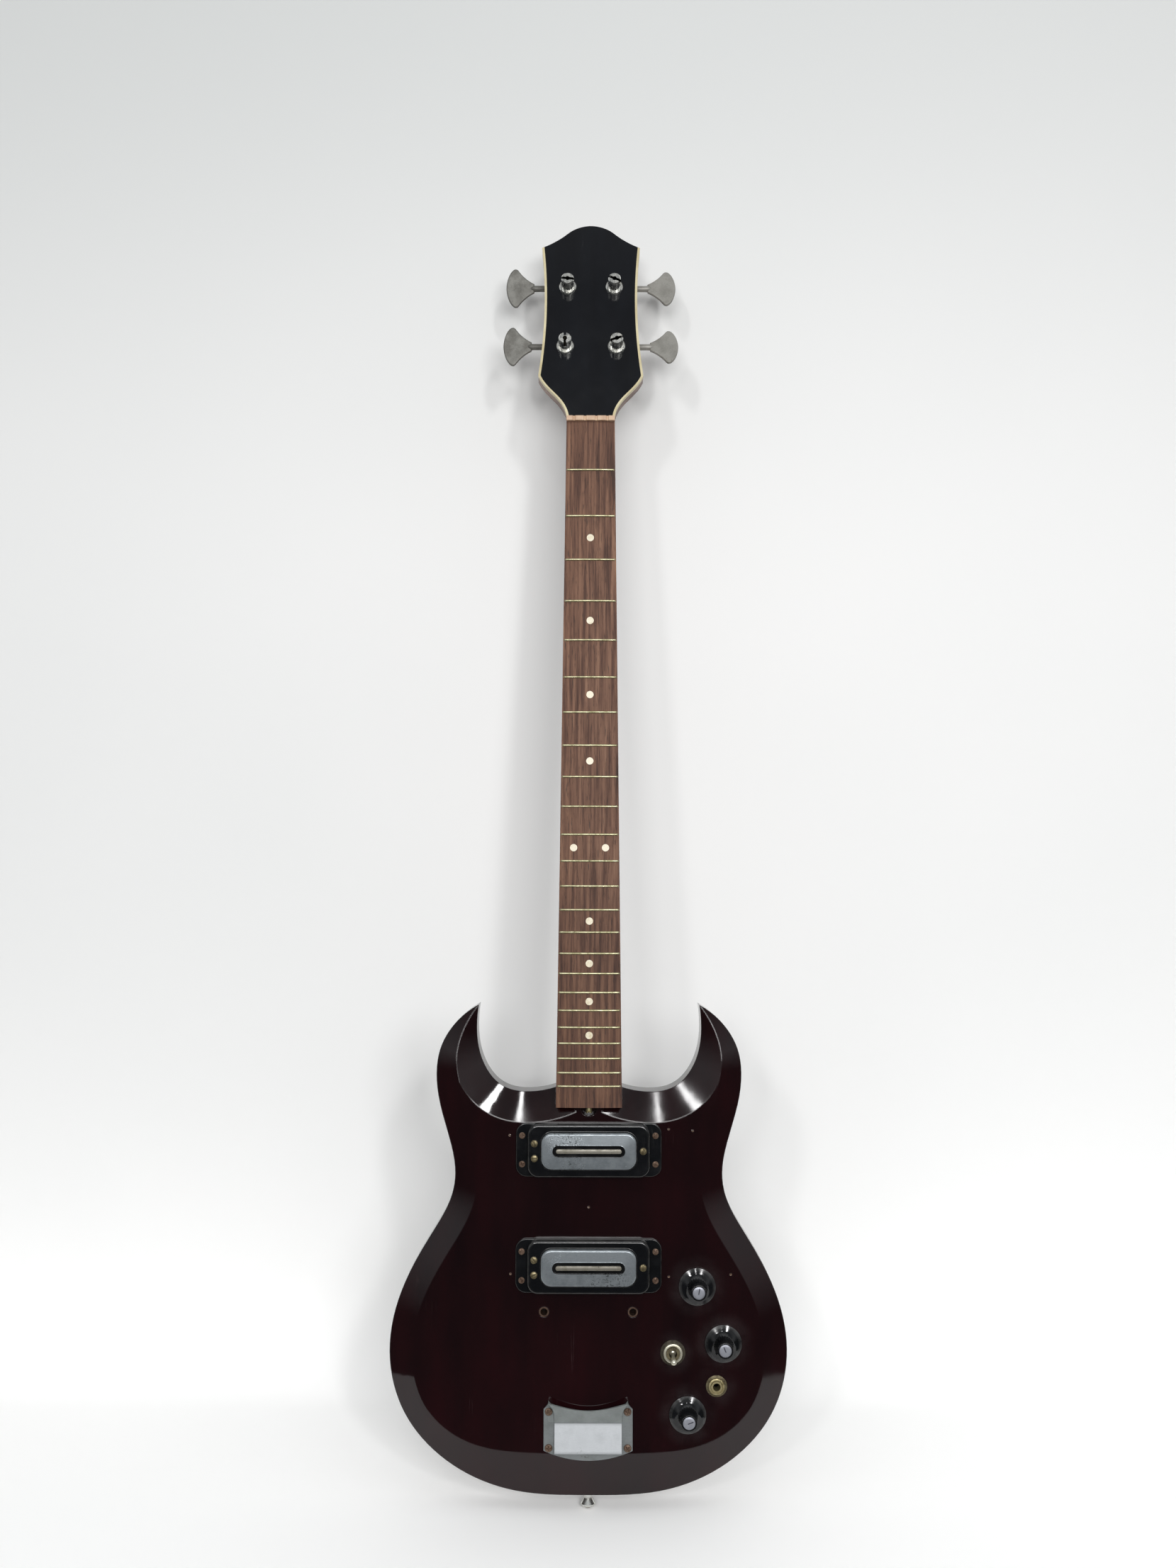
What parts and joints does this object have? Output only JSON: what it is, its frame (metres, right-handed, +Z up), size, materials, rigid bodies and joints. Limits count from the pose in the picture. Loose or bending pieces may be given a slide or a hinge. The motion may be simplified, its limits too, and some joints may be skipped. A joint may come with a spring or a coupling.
{
  "type": "electric bass guitar",
  "caption": "Solid-body electric bass guitar with horned cutaways, bevelled edges, slotted bar pickups, worm-gear tuners, witch-hat knobs, toggle switch and stamped tailpiece.",
  "frame": {"origin": "on the body's face, midway between the two bridge studs", "axes": "+Z up the neck to the headstock, +Y from the face to the back, +X to the right of the face"},
  "size_m": [0.338, 0.0739, 1.1163],
  "materials": {
    "body_lacquer": "gloss lacquer, worn",
    "neck_wood": "satin lacquer",
    "rosewood": "open-pored, oiled",
    "black_gloss": "gloss",
    "black_matte": "matt",
    "black_rubber": "matt",
    "cream": "satin",
    "nut_plastic": "satin",
    "fret_wire": "polished",
    "steel": "plain",
    "rusty_steel": "rusted",
    "nickel": "worn plating",
    "brass": "tarnished",
    "aluminium": "satin"
  },
  "bodies": {
    "bass": {"body": "body_lacquer", "bridge_bushings": "steel", "bridge_pickup_surround": "black_gloss", "fingerboard": "rosewood", "fret_dots": "cream", "frets": "fret_wire", "headstock_binding": "cream", "headstock_veneer": "black_gloss", "jack_socket": "steel", "large_wood_screws": "rusty_steel", "neck": "neck_wood", "neck_pickup_surround": "black_gloss", "nut": "nut_plastic", "panel_nuts": "brass", "pickup_height_screws": "brass", "pickup_leads": "black_rubber", "pots": "steel", "rear_cover": "black_matte", "small_wood_screws": "rusty_steel", "strap_buttons": "nickel", "switch_housing": "steel", "tailpiece": "nickel", "truss_rod": "steel", "tuner_ferrules": "nickel", "tuner_plate_screws": "steel", "tuner_plates": "nickel"},
    "neck_pickup": {"neck_pickup_cover": "nickel", "neck_pickup_coil": "black_matte", "neck_pickup_blade": "steel", "neck_pickup_base": "steel", "neck_pickup_sleeves": "black_rubber"},
    "bridge_pickup": {"bridge_pickup_cover": "nickel", "bridge_pickup_coil": "black_matte", "bridge_pickup_blade": "steel", "bridge_pickup_base": "steel", "bridge_pickup_sleeves": "black_rubber"},
    "switch_lever": {"switch_lever": "nickel"},
    "truss_rod_nut": {"truss_rod_nut": "steel"},
    "control_one": {"knob_one": "black_gloss", "knob_cap_one": "aluminium", "pot_shaft_one": "brass"},
    "control_two": {"knob_two": "black_gloss", "knob_cap_two": "aluminium", "pot_shaft_two": "brass"},
    "control_three": {"knob_three": "black_gloss", "knob_cap_three": "aluminium", "pot_shaft_three": "brass"},
    "tuner_one_key": {"tuner_one_key": "nickel"},
    "tuner_one_post": {"tuner_one_post": "nickel", "tuner_one_gear": "brass"},
    "tuner_two_key": {"tuner_two_key": "nickel"},
    "tuner_two_post": {"tuner_two_post": "nickel", "tuner_two_gear": "brass"},
    "tuner_three_key": {"tuner_three_key": "nickel"},
    "tuner_three_post": {"tuner_three_post": "nickel", "tuner_three_gear": "brass"},
    "tuner_four_key": {"tuner_four_key": "nickel"},
    "tuner_four_post": {"tuner_four_post": "nickel", "tuner_four_gear": "brass"}
  },
  "joints": [
    {"name": "neck_pickup_height", "type": "slide", "parent": "bass", "child": "neck_pickup", "axis": [0, -1, 0], "range_m": [-0.002, 0.002]},
    {"name": "bridge_pickup_height", "type": "slide", "parent": "bass", "child": "bridge_pickup", "axis": [0, -1, 0], "range_m": [-0.002, 0.002]},
    {"name": "knob_one_turn", "type": "hinge", "parent": "bass", "child": "control_one", "pos_m": [0.092, 0, 0.0216], "axis": [0, -1, 0], "range_deg": [-150, 150]},
    {"name": "knob_two_turn", "type": "hinge", "parent": "bass", "child": "control_two", "pos_m": [0.114, 0, -0.0256], "axis": [0, -1, 0], "range_deg": [-150, 150]},
    {"name": "knob_three_turn", "type": "hinge", "parent": "bass", "child": "control_three", "pos_m": [0.0838, 0, -0.0846], "axis": [0, -1, 0], "range_deg": [-150, 150]},
    {"name": "switch_throw", "type": "hinge", "parent": "bass", "child": "switch_lever", "pos_m": [0.0714, 0.002, -0.0335], "axis": [-1, 0, 0], "range_deg": [0, 26]},
    {"name": "truss_rod_adjust", "type": "hinge", "parent": "bass", "child": "truss_rod_nut", "pos_m": [0, 0.0036, 0.1694], "axis": [0, 0, 1], "range_deg": [-180, 180]},
    {"name": "tuner_one_key_turn", "type": "hinge", "parent": "bass", "child": "tuner_one_key", "pos_m": [-0.0206, 0.03278, 0.89536], "axis": [1, 0, 0], "continuous": true},
    {"name": "tuner_one_post_turn", "type": "hinge", "parent": "bass", "child": "tuner_one_post", "pos_m": [-0.0206, 0.01126, 0.88879], "axis": [0, 0.9903, -0.1392], "continuous": true},
    {"name": "tuner_two_key_turn", "type": "hinge", "parent": "bass", "child": "tuner_two_key", "pos_m": [0.0206, 0.03278, 0.89536], "axis": [1, 0, 0], "continuous": true},
    {"name": "tuner_two_post_turn", "type": "hinge", "parent": "bass", "child": "tuner_two_post", "pos_m": [0.0206, 0.01126, 0.88879], "axis": [0, 0.9903, -0.1392], "continuous": true},
    {"name": "tuner_three_key_turn", "type": "hinge", "parent": "bass", "child": "tuner_three_key", "pos_m": [-0.0226, 0.0249, 0.83931], "axis": [1, 0, 0], "continuous": true},
    {"name": "tuner_three_post_turn", "type": "hinge", "parent": "bass", "child": "tuner_three_post", "pos_m": [-0.0226, 0.00338, 0.83274], "axis": [0, 0.9903, -0.1392], "continuous": true},
    {"name": "tuner_four_key_turn", "type": "hinge", "parent": "bass", "child": "tuner_four_key", "pos_m": [0.0226, 0.0249, 0.83931], "axis": [1, 0, 0], "continuous": true},
    {"name": "tuner_four_post_turn", "type": "hinge", "parent": "bass", "child": "tuner_four_post", "pos_m": [0.0226, 0.00338, 0.83274], "axis": [0, 0.9903, -0.1392], "continuous": true}
  ],
  "couplings": [
    {"joint": "tuner_one_post_turn", "follows": "tuner_one_key_turn", "ratio": 0.05},
    {"joint": "tuner_two_post_turn", "follows": "tuner_two_key_turn", "ratio": -0.05},
    {"joint": "tuner_three_post_turn", "follows": "tuner_three_key_turn", "ratio": 0.05},
    {"joint": "tuner_four_post_turn", "follows": "tuner_four_key_turn", "ratio": -0.05}
  ]
}
